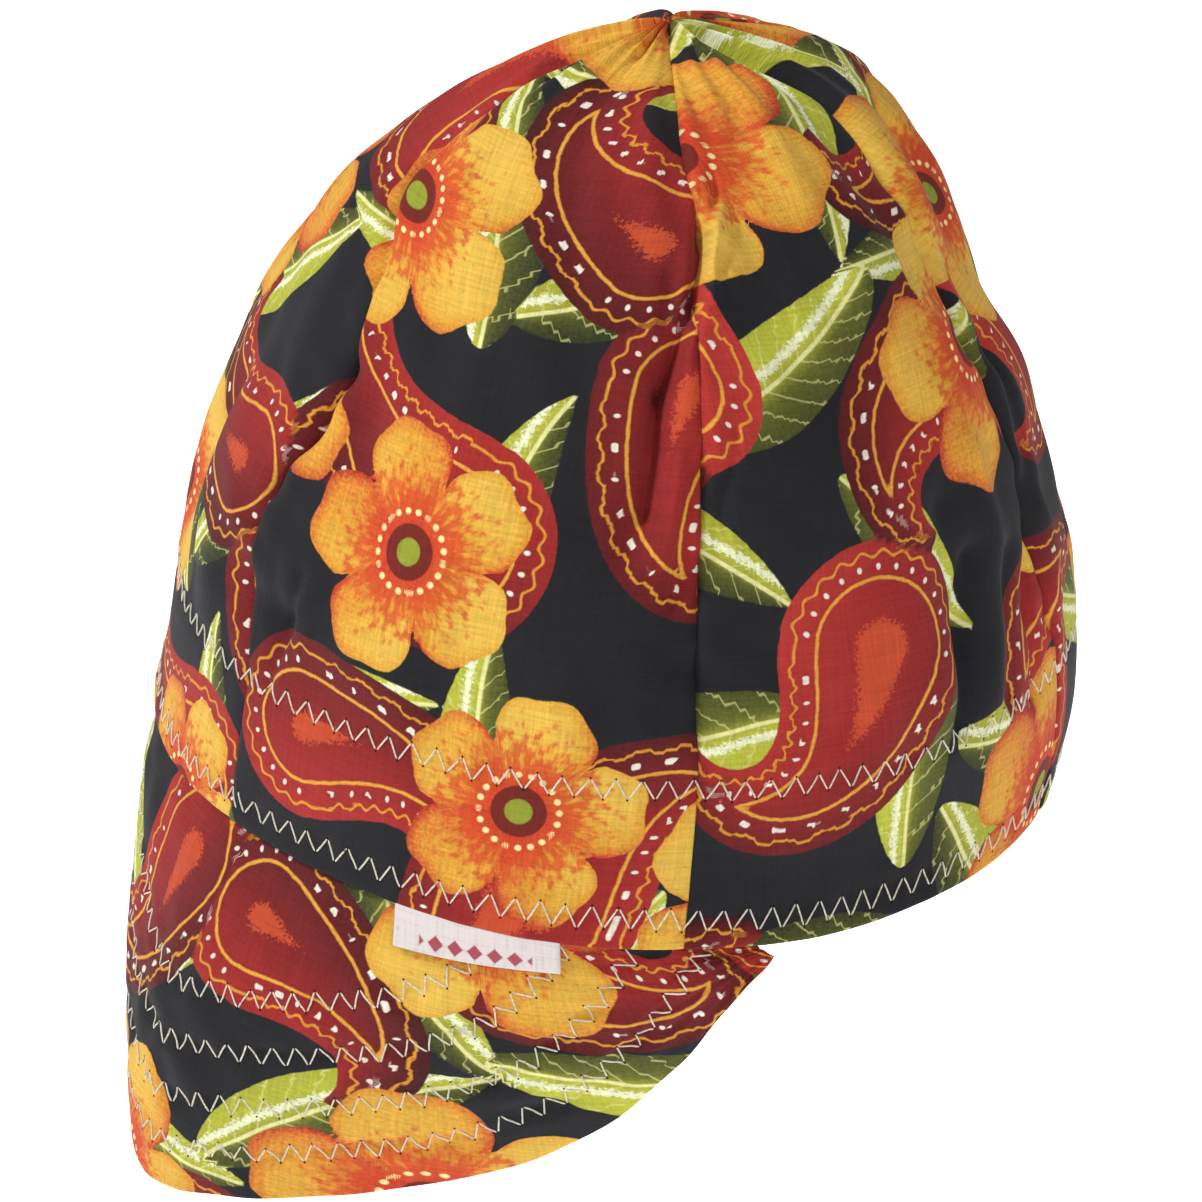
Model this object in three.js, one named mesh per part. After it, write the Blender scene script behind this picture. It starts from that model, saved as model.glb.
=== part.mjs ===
// A soft six-panel work cap with a stitched cloth bill, as it keeps its form on a head.
// Millimetres, +Z up. The rim lies in Z = 0, the front of the cap points to -Y, and +X is the
// wearer's left. Angles about Z are counted from the front, positive towards +X.
import * as THREE from 'three';

// Driving sizes
const RIM_ROUND = 581; // round the outside of the rim: a 58 cm head
const CROWN_HEIGHT = 149; // rim to the point where the seams meet
const PANEL_COUNT = 6;
const PANEL_WALL = 1.2; // two turned layers at the hem and seams, stiffened by starch
const PIECE_GAP = 0.3; // air left between neighbouring pieces
const SEAM_SINK = 0.9; // how deep a panel's edge rolls in at its seam
const SEAM_ROLL = 4; // width of that rolled edge
const APEX_HOLE = 1.3; // reach of the point where the panels' tips stop
const HEM_WAVE = 1.0; // how far the soft hem lifts and dips
const BAND_BOTTOM = 1.5; // the headband's lower edge above the rim
const BAND_HEIGHT = 30;
const BAND_WALL = 1.0;
const BILL_DEPTH = 78.5; // from the rim to the bill's edge, at the front
const BILL_HALF_SPAN = 69; // degrees of rim from the front to the bill's corner
const BILL_WALL = 2.4; // two cloths and the layers quilted between them
const BILL_ROOT_WALL = 1.5; // the same, pressed flat where it is sewn in
const BILL_TUCK = 8; // how far the bill runs up between crown and headband
const BILL_DROP = 77; // degrees below horizontal, at the front
const BILL_FOLD_BACK = 77; // degrees more at the corners
const BILL_FAN = 0.75; // how far its corners' lines turn inwards, a share of the rim angle
const BILL_BOW = 5.8; // outward bow from root to edge
const LABEL_WIDTH = 32;
const LABEL_DROP = 8;
const LABEL_WALL = 0.5;
const LABEL_ANGLE = 35.5; // where the middle of the label hangs

const RIM_RADIUS = RIM_ROUND / (2 * Math.PI);
const BAND_TOP = BAND_BOTTOM + BAND_HEIGHT;

// The crown's cross-sections: reach towards front, back and side as shares of the rim's radius.
const SECTIONS = [
  { up: 0, front: 1, back: 1, side: 1 },
  { up: 0.1, front: 0.985, back: 1.06, side: 0.965 },
  { up: 0.22, front: 0.965, back: 1.03, side: 0.95 },
  { up: 0.36, front: 0.935, back: 0.965, side: 0.9 },
  { up: 0.52, front: 0.85, back: 0.865, side: 0.825 },
  { up: 0.68, front: 0.73, back: 0.715, side: 0.7 },
  { up: 0.82, front: 0.585, back: 0.585, side: 0.51 },
  { up: 0.93, front: 0.35, back: 0.4, side: 0.275 },
  { up: 1, front: 0, back: 0, side: 0 },
];

// Soft folds and dents: a line over the crown from (angle, height) to (angle, height), heights as
// shares of the crown's height, width as a share of the rim's radius, depth as a share of its own
// wall; a negative depth stands out.
const FOLDS = [
  { name: 'tuck by the left side seam', a0: 57, up0: 0.78, a1: 50, up1: 0.5, width: 0.045, depth: 1.6 },
  { name: 'roll beside that tuck', a0: 61, up0: 0.8, a1: 56, up1: 0.5, width: 0.04, depth: -1.1 },
  { name: 'left back fold', a0: 98, up0: 0.5, a1: 101, up1: 0.22, width: 0.05, depth: 1.8 },
  { name: 'left back roll', a0: 106, up0: 0.55, a1: 108, up1: 0.25, width: 0.05, depth: -1.5 },
  { name: 'front dent', a0: 6, up0: 0.56, a1: 12, up1: 0.44, width: 0.11, depth: 2 },
  { name: 'front pinch above the band', a0: 3, up0: 0.3, a1: 5, up1: 0.2, width: 0.05, depth: 1.8 },
  { name: 'back dent', a0: 140, up0: 0.82, a1: 128, up1: 0.68, width: 0.13, depth: 2.4 },
  { name: 'right side fold', a0: -64, up0: 0.62, a1: -72, up1: 0.34, width: 0.06, depth: 1.7 },
  { name: 'right back roll', a0: -118, up0: 0.5, a1: -112, up1: 0.25, width: 0.06, depth: -1.4 },
  { name: 'right front fold', a0: -30, up0: 0.5, a1: -36, up1: 0.24, width: 0.06, depth: 1.5 },
];

// The bill's depth from the front to its corner, as shares of its half span and of its depth.
const BILL_OUTLINE = [
  { along: 0, depth: 1 },
  { along: 0.2, depth: 0.94 },
  { along: 0.4, depth: 0.815 },
  { along: 0.6, depth: 0.605 },
  { along: 0.75, depth: 0.37 },
  { along: 0.88, depth: 0.17 },
  { along: 1, depth: 0.05 },
];

const radians = (degrees) => (degrees * Math.PI) / 180;

/** A value read from a table's named column, smoothly and without overshoot, at t of its key. */
function readTable(table, key, column, t, startsLevel = false) {
  const last = table.length - 1;
  let i = 0;
  while (i < last - 1 && t > table[i + 1][key]) i += 1;
  const slope = (j) => (table[j + 1][column] - table[j][column]) / (table[j + 1][key] - table[j][key]);
  const tangent = (j) => {
    if (j === 0) return startsLevel ? 0 : slope(0);
    if (j === last) return slope(last - 1);
    const before = slope(j - 1);
    const after = slope(j);
    return before * after > 0 ? (2 * before * after) / (before + after) : 0;
  };
  const span = table[i + 1][key] - table[i][key];
  const s = (t - table[i][key]) / span;
  const from = table[i][column];
  const to = table[i + 1][column];
  return (
    from * (2 * s ** 3 - 3 * s ** 2 + 1) +
    to * (3 * s ** 2 - 2 * s ** 3) +
    span * (tangent(i) * (s ** 3 - 2 * s ** 2 + s) + tangent(i + 1) * (s ** 3 - s ** 2))
  );
}

/** How far the folds push the crown in at an angle (degrees) and height share. */
function foldDepth(angle, up) {
  const across = radians(1) * RIM_RADIUS;
  const turned = angle > 180 ? angle - 360 : angle;
  let sum = 0;
  for (const fold of FOLDS) {
    const a = new THREE.Vector2(fold.a0 * across, fold.up0 * CROWN_HEIGHT);
    const b = new THREE.Vector2(fold.a1 * across, fold.up1 * CROWN_HEIGHT);
    const p = new THREE.Vector2(turned * across, up * CROWN_HEIGHT);
    const ab = b.clone().sub(a);
    const share = THREE.MathUtils.clamp(p.clone().sub(a).dot(ab) / ab.lengthSq(), 0, 1);
    const distance = p.distanceTo(a.addScaledVector(ab, share));
    sum += fold.depth * PANEL_WALL * Math.exp(-((distance / (fold.width * RIM_RADIUS)) ** 2));
  }
  return sum;
}

/** The crown's smooth outer skin at an angle and height share: an oval at each height. */
function crownSkin(angle, up) {
  const front = readTable(SECTIONS, 'up', 'front', up) * RIM_RADIUS;
  const back = readTable(SECTIONS, 'up', 'back', up) * RIM_RADIUS;
  const side = readTable(SECTIONS, 'up', 'side', up) * RIM_RADIUS;
  const turn = radians(angle);
  const wave = HEM_WAVE * Math.sin(5 * turn + 0.6) * Math.exp(-up / 0.05);
  return new THREE.Vector3(
    side * Math.sin(turn),
    (back - front) / 2 - ((front + back) / 2) * Math.cos(turn),
    up * CROWN_HEIGHT + wave,
  );
}

/** The skin's outward normal, from two short steps over it. */
function crownNormal(angle, up) {
  const low = Math.min(up, 0.985);
  const around = crownSkin(angle + 0.5, low).sub(crownSkin(angle - 0.5, low));
  const rise = crownSkin(angle, low + 0.01).sub(crownSkin(angle, Math.max(low - 0.01, 0)));
  return around.cross(rise).normalize();
}

/** A point of a panel, sunk below the skin by its wall and, above the band, by folds and seams. */
function crownPoint(angle, up, fromSeam, wall) {
  const aboveBand = THREE.MathUtils.smoothstep(up * CROWN_HEIGHT, BAND_TOP, BAND_TOP + 4 * SEAM_ROLL);
  const roll = SEAM_SINK * Math.exp(-((fromSeam / SEAM_ROLL) ** 2) * 4);
  const sink = aboveBand * (foldDepth(angle, up) + roll) + wall;
  return crownSkin(angle, up).addScaledVector(crownNormal(angle, up), -sink);
}

/** A closed solid from two grids of points, rows by columns: its outside and its inside. */
function shell(outside, inside) {
  const rows = outside.length;
  const columns = outside[0].length;
  const points = [...outside.flat(), ...inside.flat()];
  const at = (side, row, column) => side * rows * columns + row * columns + column;
  const faces = [];
  const quad = (a, b, c, d) => faces.push(a, b, c, a, c, d);
  for (let r = 0; r + 1 < rows; r += 1) {
    for (let c = 0; c + 1 < columns; c += 1) {
      quad(at(0, r, c), at(0, r, c + 1), at(0, r + 1, c + 1), at(0, r + 1, c));
      quad(at(1, r, c), at(1, r + 1, c), at(1, r + 1, c + 1), at(1, r, c + 1));
    }
  }
  for (let c = 0; c + 1 < columns; c += 1) {
    quad(at(0, 0, c + 1), at(0, 0, c), at(1, 0, c), at(1, 0, c + 1));
    quad(at(0, rows - 1, c), at(0, rows - 1, c + 1), at(1, rows - 1, c + 1), at(1, rows - 1, c));
  }
  for (let r = 0; r + 1 < rows; r += 1) {
    quad(at(0, r, 0), at(0, r + 1, 0), at(1, r + 1, 0), at(1, r, 0));
    quad(at(0, r + 1, columns - 1), at(0, r, columns - 1), at(1, r, columns - 1), at(1, r + 1, columns - 1));
  }
  const geometry = new THREE.BufferGeometry();
  geometry.setAttribute('position', new THREE.Float32BufferAttribute(points.flatMap((p) => p.toArray()), 3));
  geometry.setIndex(faces);
  geometry.computeVertexNormals();
  return geometry;
}

/** Evenly counted steps from 0 to 1. */
const steps = (count) => Array.from({ length: count + 1 }, (_, i) => i / count);

/** The height share at which the crown's reach to the side has shrunk to the apex hole. */
function tipHeight() {
  let low = SECTIONS[SECTIONS.length - 2].up;
  let high = 1;
  for (let i = 0; i < 40; i += 1) {
    const middle = (low + high) / 2;
    if (readTable(SECTIONS, 'up', 'side', middle) * RIM_RADIUS > APEX_HOLE) low = middle;
    else high = middle;
  }
  return low;
}

/** One gore of the crown, from its seam at an angle to the next seam. */
function panel(fromAngle) {
  const angleSpan = 360 / PANEL_COUNT;
  const top = tipHeight();
  const rows = steps(26).map((t) => top * (1 - (1 - t) ** 1.4));
  const columns = steps(12).map((t) => (1 - Math.cos(Math.PI * t)) / 2);
  const grid = (wall) =>
    rows.map((up) => {
      const reach = readTable(SECTIONS, 'up', 'side', up) * RIM_RADIUS;
      const inset = ((PIECE_GAP / 2 / reach) * 180) / Math.PI;
      return columns.map((t) => {
        const angle = fromAngle + inset + t * (angleSpan - 2 * inset);
        const fromSeam = radians(Math.min(t, 1 - t) * angleSpan) * reach;
        return crownPoint(angle, up, fromSeam, wall);
      });
    });
  return shell(grid(0), grid(PANEL_WALL));
}

/** The bill's wall where it leaves the crown: thinner where it is sewn in and at its corners. */
const rootWall = (along) => BILL_ROOT_WALL * Math.max(1 - along ** 4, 0.35);

/** The bill's depth below the rim, at a share of its half span. */
const billDepth = (along) =>
  BILL_DEPTH * readTable(BILL_OUTLINE, 'along', 'depth', Math.abs(along), true);

/** The bill's outer skin: it runs up inside the crown's wall, then hangs out below the rim. */
function billSkin(along, way) {
  const angle = along * BILL_HALF_SPAN;
  const clear = PANEL_WALL + PIECE_GAP;
  const rim = crownPoint(angle, 0, SEAM_ROLL, clear);
  if (way <= 0) {
    const up = (-way * BILL_TUCK) / CROWN_HEIGHT;
    return crownPoint(angle, up, SEAM_ROLL, clear);
  }
  const depth = billDepth(along);
  const drop = radians(BILL_DROP + BILL_FOLD_BACK * along ** 2);
  const turn = radians(-BILL_FAN * angle);
  const line = new THREE.Vector3(
    Math.cos(drop) * Math.sin(turn),
    -Math.cos(drop) * Math.cos(turn),
    -Math.sin(drop),
  );
  const outward = new THREE.Vector3(Math.sin(radians(angle)), -Math.cos(radians(angle)), 0);
  const bow = BILL_BOW * Math.sin(Math.PI * way) * (depth / BILL_DEPTH);
  return rim.addScaledVector(line, way * depth).addScaledVector(outward, bow);
}

/** The bill's outward normal, from two short steps over its skin. */
function billNormal(along, way) {
  const step = 0.02;
  const a = Math.min(Math.max(along, -0.97), 0.97);
  const w = Math.max(way, step);
  const across = billSkin(a + step, w).sub(billSkin(a - step, w));
  const down = billSkin(a, w + step).sub(billSkin(a, w - step));
  return down.cross(across).normalize();
}

/** The bill as one padded solid, tucked up between the crown and the headband. */
function bill() {
  const ways = [-1, -0.5, 0, 0.04, 0.12, 0.24, 0.4, 0.56, 0.72, 0.86, 0.95, 1];
  const alongs = steps(40).map((t) => 2 * t - 1);
  const outward = (angle) => new THREE.Vector3(Math.sin(radians(angle)), -Math.cos(radians(angle)), 0);
  const grid = (inner) =>
    ways.map((way) =>
      alongs.map((along) => {
        const point = billSkin(along, way);
        if (!inner) return point;
        const share = THREE.MathUtils.smoothstep(way, 0, 0.3);
        const edge = 1 - 0.35 * THREE.MathUtils.smoothstep(way, 0.86, 1);
        const taper = Math.max(1 - along ** 4, 0.35);
        const wall = THREE.MathUtils.lerp(rootWall(along), BILL_WALL * taper, share) * edge;
        const normal = way <= 0 ? outward(along * BILL_HALF_SPAN) : billNormal(along, way);
        return point.addScaledVector(normal, -wall);
      }),
    );
  return shell(grid(false).reverse(), grid(true).reverse());
}

/** The headband: a strip inside the crown's foot that also covers the bill's root. */
function headband() {
  const around = 66;
  const lifts = [0, 0.25, 0.5, 0.75, 1];
  const point = (angle, lift, wall) => {
    const up = (BAND_BOTTOM + lift * BAND_HEIGHT) / CROWN_HEIGHT;
    const beside = Math.min(Math.abs(angle) / BILL_HALF_SPAN, 1.2);
    const hold = 1 - THREE.MathUtils.smoothstep(beside, 1.02, 1.2);
    const low = 1 - THREE.MathUtils.smoothstep(lift * BAND_HEIGHT, BILL_TUCK, BAND_HEIGHT * 0.6);
    const room = (BILL_ROOT_WALL + PIECE_GAP) * hold * low;
    return crownPoint(angle, up, SEAM_ROLL, PANEL_WALL + 2 * PIECE_GAP + room + wall);
  };
  const grid = (wall) =>
    lifts.map((lift) => Array.from({ length: around }, (_, i) => point(-180 + (360 * i) / around, lift, wall)));
  return ring(grid(0), grid(BAND_WALL));
}

/** As shell, for grids whose columns close into a ring. */
function ring(outside, inside) {
  const rows = outside.length;
  const columns = outside[0].length;
  const points = [...outside.flat(), ...inside.flat()];
  const at = (side, row, column) => side * rows * columns + row * columns + (column % columns);
  const faces = [];
  const quad = (a, b, c, d) => faces.push(a, b, c, a, c, d);
  for (let c = 0; c < columns; c += 1) {
    for (let r = 0; r + 1 < rows; r += 1) {
      quad(at(0, r, c), at(0, r, c + 1), at(0, r + 1, c + 1), at(0, r + 1, c));
      quad(at(1, r, c), at(1, r + 1, c), at(1, r + 1, c + 1), at(1, r, c + 1));
    }
    quad(at(0, 0, c + 1), at(0, 0, c), at(1, 0, c), at(1, 0, c + 1));
    quad(at(0, rows - 1, c), at(0, rows - 1, c + 1), at(1, rows - 1, c + 1), at(1, rows - 1, c));
  }
  const geometry = new THREE.BufferGeometry();
  geometry.setAttribute('position', new THREE.Float32BufferAttribute(points.flatMap((p) => p.toArray()), 3));
  geometry.setIndex(faces);
  geometry.computeVertexNormals();
  return geometry;
}

/** The woven tape label: it hangs from the hem over the bill, a gap away from it. */
function label() {
  const halfSpan = LABEL_WIDTH / 2 / (radians(1) * RIM_RADIUS);
  const grid = (lift) =>
    steps(3).map((down) =>
      steps(12).map((t) => {
        const along = (LABEL_ANGLE + halfSpan * (2 * t - 1)) / BILL_HALF_SPAN;
        const way = (HEM_WAVE + PIECE_GAP + 0.4 + down * LABEL_DROP) / billDepth(along);
        return billSkin(along, way).addScaledVector(billNormal(along, way), lift);
      }),
    );
  return shell(grid(PIECE_GAP + LABEL_WALL).reverse(), grid(PIECE_GAP).reverse());
}

const cloth = (color) => new THREE.MeshStandardMaterial({ color, roughness: 0.9, metalness: 0 });

/** A named mesh of one sub-part. */
function piece(name, geometry, color) {
  const mesh = new THREE.Mesh(geometry, cloth(color));
  mesh.name = name;
  return mesh;
}

const cap = new THREE.Group();
const PANEL_NAMES = [
  'panel_front_left',
  'panel_side_left',
  'panel_back_left',
  'panel_back_right',
  'panel_side_right',
  'panel_front_right',
];
PANEL_NAMES.forEach((name, i) => cap.add(piece(name, panel((i * 360) / PANEL_COUNT), '#5a2a22')));
cap.add(piece('bill', bill(), '#4a3a22'));
cap.add(piece('headband', headband(), '#2a2b2f'));
cap.add(piece('label', label(), '#eee6ec'));

export default cap;
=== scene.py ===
"""A soft six-panel work cap with a stitched cloth bill, for Blender 4.5.

Frame: the rim lies in Z = 0, the front of the cap points to -Y and the wearer's left to +X.
Angles round the crown are in degrees from the front, positive to the wearer's left.
Shapes are worked out in millimetres and made metres where a mesh is filled.
"""
import math

import bpy
import numpy as np
from mathutils import Matrix, Vector


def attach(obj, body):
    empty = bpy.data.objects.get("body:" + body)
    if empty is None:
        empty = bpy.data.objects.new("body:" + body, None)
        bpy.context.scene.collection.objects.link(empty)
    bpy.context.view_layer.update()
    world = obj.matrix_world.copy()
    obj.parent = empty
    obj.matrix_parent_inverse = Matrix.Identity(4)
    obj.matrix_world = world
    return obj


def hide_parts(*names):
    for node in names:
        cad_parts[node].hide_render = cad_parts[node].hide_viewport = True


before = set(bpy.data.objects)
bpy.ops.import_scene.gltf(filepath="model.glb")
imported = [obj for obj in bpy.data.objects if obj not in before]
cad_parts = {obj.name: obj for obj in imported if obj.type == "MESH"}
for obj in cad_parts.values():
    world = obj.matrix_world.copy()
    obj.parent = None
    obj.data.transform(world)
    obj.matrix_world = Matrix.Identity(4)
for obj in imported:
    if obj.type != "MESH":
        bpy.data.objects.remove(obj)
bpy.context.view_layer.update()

MM = 0.001

# Driving sizes, as in the part, in millimetres
RIM_RADIUS = 581 / (2 * math.pi)
CROWN_HEIGHT = 149
PANEL_COUNT = 6
CLOTH = 0.6
HEM_CLOTH = 1.2
SEAM_SINK = 0.9
BAND_BOTTOM, BAND_HEIGHT, BAND_WALL = 1.5, 30, 1.0
BAND_TOP = BAND_BOTTOM + BAND_HEIGHT
HEM_WAVE = 1.0
BILL_DEPTH, BILL_HALF_SPAN = 78.5, 69
BILL_WALL, BILL_ROOT_WALL, BILL_TUCK = 2.4, 1.5, 8
BILL_DROP, BILL_FOLD_BACK, BILL_FAN, BILL_BOW = 77, 77, 0.75, 5.8
PANEL_WALL, PIECE_GAP = 1.2, 0.3
LABEL_WIDTH, LABEL_DROP, LABEL_ANGLE = 32, 8, 35.5
LABEL_TOP, LABEL_FOLD, LABEL_SLANT = -1.6, 0.42, 0.9

# Stitching: height of the crown's two rows, and how far the bill's rows lie from its edge
LOWER_ROW, UPPER_ROW = 5.1, 30.6
BILL_ROWS = (10.6, 21.3, 32.7, 43.8)
ZIGZAG_PITCH, ZIGZAG_WIDTH = 4.9, 4.4
THREAD_RADIUS = 0.18
# Radius of the dark plugs at the stitch corners, which carry the painted shade of the needle holes
HOLE_SHADE_RADIUS = 0.22
MESH_STEP = 1.0

# Crown sections: height share, then reach to front, back and side as shares of the rim's radius
SECTIONS = np.array([
    (0.00, 1.000, 1.000, 1.000),
    (0.10, 0.985, 1.060, 0.965),
    (0.22, 0.965, 1.030, 0.950),
    (0.36, 0.935, 0.965, 0.900),
    (0.52, 0.850, 0.865, 0.825),
    (0.68, 0.730, 0.715, 0.700),
    (0.82, 0.585, 0.585, 0.510),
    (0.93, 0.350, 0.400, 0.275),
    (1.00, 0.000, 0.000, 0.000),
]).T
UP, FRONT, BACK, SIDE = SECTIONS

# Folds: from angle and height share, to angle and height share, width as a share of the rim's
# radius, depth in millimetres; a negative depth stands out
FOLDS = (
    (57, 0.78, 50, 0.50, 0.045, 1.9),
    (61, 0.80, 56, 0.50, 0.040, -1.3),
    (98, 0.50, 101, 0.22, 0.050, 2.2),
    (106, 0.55, 108, 0.25, 0.050, -1.8),
    (6, 0.56, 12, 0.44, 0.110, 2.4),
    (3, 0.30, 5, 0.20, 0.050, 2.2),
    (140, 0.82, 128, 0.68, 0.130, 2.9),
    (-64, 0.62, -72, 0.34, 0.060, 2.0),
    (-118, 0.50, -112, 0.25, 0.060, -1.7),
    (-30, 0.50, -36, 0.24, 0.060, 1.8),
)

# Creases, sharper than the folds and in the cloth alone, and three broad swells and hollows of
# the shoulders: from angle and height share, to angle and height share, width and depth in
# millimetres
CREASES = (
    (-62.0, 0.80, -84.0, 0.93, 22.0, 2.3),
    (154.0, 0.80, 168.0, 0.86, 20.0, -1.6),
    (150.0, 0.66, 156.0, 0.57, 13.0, 1.8),
    (64.5, 0.86, 60.4, 0.76, 1.8, 1.6),
    (60.8, 0.78, 53.4, 0.675, 1.5, 2.9),
    (53.4, 0.675, 52.2, 0.54, 1.5, 2.6),
    (59.0, 0.74, 55.6, 0.64, 2.6, -1.2),
    (68.5, 0.875, 64.0, 0.83, 1.7, 1.6),
    (66.0, 0.84, 64.0, 0.78, 2.0, -1.1),
    (72.0, 0.84, 66.0, 0.80, 1.6, 1.2),
    (57.0, 0.60, 55.0, 0.50, 2.4, -0.9),
    (64.5, 0.64, 61.2, 0.50, 1.9, 1.1),
    (58.8, 0.60, 56.5, 0.44, 2.1, 1.2),
    (102.5, 0.43, 97.0, 0.22, 2.6, 2.3),
    (110.0, 0.41, 106.0, 0.23, 2.6, 1.3),
    (116.0, 0.38, 113.0, 0.20, 2.4, 1.5),
    (127.0, 0.64, 115.0, 0.32, 3.2, 1.5),
    (122.0, 0.80, 118.0, 0.66, 2.0, 1.2),
    (-15.0, 0.84, -3.0, 0.72, 2.2, 1.3),
    (1.5, 0.62, -5.5, 0.44, 2.4, 1.3),
    (5.0, 0.37, 2.5, 0.22, 1.9, 1.1),
    (-62.5, 0.82, -57.0, 0.66, 2.0, 1.5),
    (-58.5, 0.54, -61.5, 0.38, 2.1, 1.0),
    (-101.0, 0.43, -97.0, 0.23, 2.6, 1.9),
    (-119.0, 0.54, -112.5, 0.30, 2.6, 1.3),
    (-122.0, 0.80, -118.0, 0.64, 2.0, 1.2),
    (178.0, 0.80, 183.0, 0.63, 2.2, 1.4),
    (181.0, 0.52, 176.0, 0.33, 2.2, 1.1),
    (150.0, 0.46, 153.0, 0.25, 2.6, 1.5),
    (-145.0, 0.45, -149.0, 0.24, 2.6, 1.4),
)

# Seams that drift from their even places: height share, and degrees off
FRONT_SEAM = np.array([
    (0.00, -1.5),
    (0.20, -1.5),
    (0.31, -5.0),
    (0.43, -6.0),
    (0.61, 0.5),
    (0.74, -3.0),
    (0.84, -12.0),
    (1.00, -12.0),
]).T
LEFT_SEAM = np.array([
    (0.00, 0.0),
    (0.70, 0.0),
    (0.78, 1.2),
    (0.83, 3.8),
    (0.90, 1.5),
    (1.00, 0.0),
]).T

# Where the hem hangs lower or higher than its even wave: angle, and millimetres up
HEM_DRIFT = ((78, -1.9), (118, 1.9))

# Bill: share of its half span, and its depth there as a share of the depth at the front
BILL_OUTLINE = np.array([
    (0.00, 1.000),
    (0.20, 0.940),
    (0.40, 0.815),
    (0.60, 0.605),
    (0.75, 0.370),
    (0.88, 0.170),
    (1.00, 0.050),
]).T


def read_table(keys, values, at, level_start=False):
    """A cubic through a table's rows. The slope at a row is the harmonic mean of the slopes on
    its two sides, or 0 where they turn, so the curve never overshoots its rows."""
    steps = np.diff(values) / np.diff(keys)
    product = steps[:-1] * steps[1:]
    total = np.where(product > 0, steps[:-1] + steps[1:], 1)
    inner = np.where(product > 0, 2 * product / total, 0)
    slopes = np.concatenate(([0 if level_start else steps[0]], inner, [steps[-1]]))
    at = np.asarray(at, float)
    i = np.clip(np.searchsorted(keys, at, side="right") - 1, 0, len(keys) - 2)
    span = keys[i + 1] - keys[i]
    s = (at - keys[i]) / span
    return (
        values[i] * (2 * s**3 - 3 * s**2 + 1)
        + values[i + 1] * (3 * s**2 - 2 * s**3)
        + span * (slopes[i] * (s**3 - 2 * s**2 + s) + slopes[i + 1] * (s**3 - s**2))
    )


def smoothstep(x, low, high):
    """0 below low, 1 above high, with a smooth S between."""
    t = np.clip((np.asarray(x, float) - low) / (high - low), 0, 1)
    return t * t * (3 - 2 * t)


def ripple(x, y, size, seed):
    """Soft uneven waves of about the given size: a mean of sines with seeded directions."""
    draw = np.random.default_rng(seed)
    total = 0
    for _ in range(7):
        heading, phase = draw.uniform(0, 2 * math.pi, 2)
        pace = 2 * math.pi / (size * draw.uniform(0.75, 1.5))
        total = total + np.sin((x * math.cos(heading) + y * math.sin(heading)) * pace + phase)
    return total / 3.2


def unit(vectors):
    return vectors / np.maximum(np.linalg.norm(vectors, axis=-1, keepdims=True), 1e-9)


def surface_normal(surface, a, b, step_a, step_b):
    """Cross product of two short central steps over a surface of two parameters."""
    along_a = surface(a + step_a, b) - surface(a - step_a, b)
    along_b = surface(a, b + step_b) - surface(a, b - step_b)
    return unit(np.cross(along_a, along_b))


# The crown

def crown_skin(angle, up):
    """The crown's smooth skin: at each height an oval whose front and back reach differ, plus a
    slow wave of the hem that dies out above it."""
    front, back, side = (read_table(UP, column, up) * RIM_RADIUS for column in (FRONT, BACK, SIDE))
    turn = np.radians(angle)
    wave = HEM_WAVE * np.sin(5 * turn + 0.6)
    for middle, drift in HEM_DRIFT:
        wave = wave + drift * np.exp(-(((np.asarray(angle) - middle + 180) % 360 - 180) / 14) ** 2)
    wave = wave * np.exp(-up / 0.05)
    return np.stack(np.broadcast_arrays(
        side * np.sin(turn),
        (back - front) / 2 - (front + back) / 2 * np.cos(turn),
        up * CROWN_HEIGHT + wave,
    ), -1)


def seam_angle(index, up):
    """Where a seam lies at a height: even steps round the crown, plus the drift of the front and
    left seams from their tables, or a slight uneven drift for the seams that aren't seen."""
    even = 360 / PANEL_COUNT * index
    if index % PANEL_COUNT == 0:
        return even + read_table(*FRONT_SEAM, up)
    if index == 1:
        return even + read_table(*LEFT_SEAM, up)
    return even + 1.2 * ripple(up * CROWN_HEIGHT, 0, 90, 110 + index)


def seam_distance(angle, up):
    """Millimetres along the cloth from a point to the nearest seam, positive on the side of
    larger angles."""
    reach = read_table(UP, SIDE, up) * RIM_RADIUS
    nearest = 360.0
    for index in range(PANEL_COUNT):
        turn = (np.asarray(angle) - seam_angle(index, up) + 180) % 360 - 180
        nearest = np.where(np.abs(turn) < np.abs(nearest), turn, nearest)
    return np.radians(nearest) * reach


def fold_depth(angle, up, folds):
    """The sum of some folds: each a trough, bell-shaped across its line over the crown."""
    across = math.radians(1) * RIM_RADIUS
    turned = np.asarray(angle)
    total = 0
    for a0, up0, a1, up1, width, depth in folds:
        x = ((turned - a0 + 180) % 360 - 180) * across
        y = (np.asarray(up) - up0) * CROWN_HEIGHT
        line_x, line_y = (a1 - a0) * across, (up1 - up0) * CROWN_HEIGHT
        share = np.clip((x * line_x + y * line_y) / (line_x**2 + line_y**2), 0, 1)
        away = (x - share * line_x) ** 2 + (y - share * line_y) ** 2
        total = total + depth * np.exp(-away / width**2)
    return total


def crease_sink(angle, up):
    """The creases, which fade out towards the hem but still mark the upper part of the band."""
    return fold_depth(angle, up, CREASES) * smoothstep(up * CROWN_HEIGHT, 4, BAND_TOP + 5)


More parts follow.
